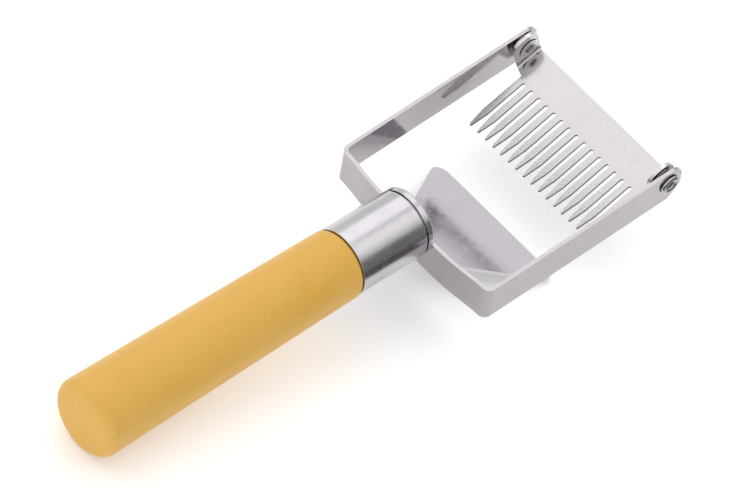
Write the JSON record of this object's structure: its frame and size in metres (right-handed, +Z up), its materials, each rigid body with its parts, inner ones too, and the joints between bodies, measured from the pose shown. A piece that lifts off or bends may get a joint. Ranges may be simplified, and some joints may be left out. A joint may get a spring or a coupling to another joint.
{
  "type": "honey uncapping fork",
  "caption": "Uncapping tool: a toothed comb tilts between the arms of a bent steel frame, with a sloping guide plate ahead of a ferruled plastic grip.",
  "frame": {"origin": "on the supporting surface, under the middle of the tool's footprint", "axes": "+Y from the butt of the grip towards the comb, +X across the tool, +Z up; the tool lies at rest on the guide plate's front edge and the butt of the grip"},
  "size_m": [0.0774, 0.2392, 0.044],
  "materials": {
    "frame_steel": "polished",
    "plate_steel": "polished",
    "comb_steel": "satin",
    "ferrule_steel": "polished",
    "rivet_steel": "satin",
    "bolt_steel": "satin",
    "grip_plastic": "satin"
  },
  "bodies": {
    "handle": {"grip": "grip_plastic", "ferrule": "ferrule_steel", "handle_tang": "ferrule_steel", "frame_band": "frame_steel", "frame_bolt": "bolt_steel", "guide_plate": "plate_steel", "pivot_rivet_left": "rivet_steel", "pivot_rivet_right": "rivet_steel", "pivot_washer_left": "rivet_steel", "pivot_washer_right": "rivet_steel"},
    "comb": {"comb_plate": "comb_steel"}
  },
  "joints": [
    {"name": "comb_tilt", "type": "hinge", "parent": "handle", "child": "comb", "pos_m": [0, 0.1124, 0.03674], "axis": [1, 0, 0], "range_deg": [-15, 30]}
  ]
}
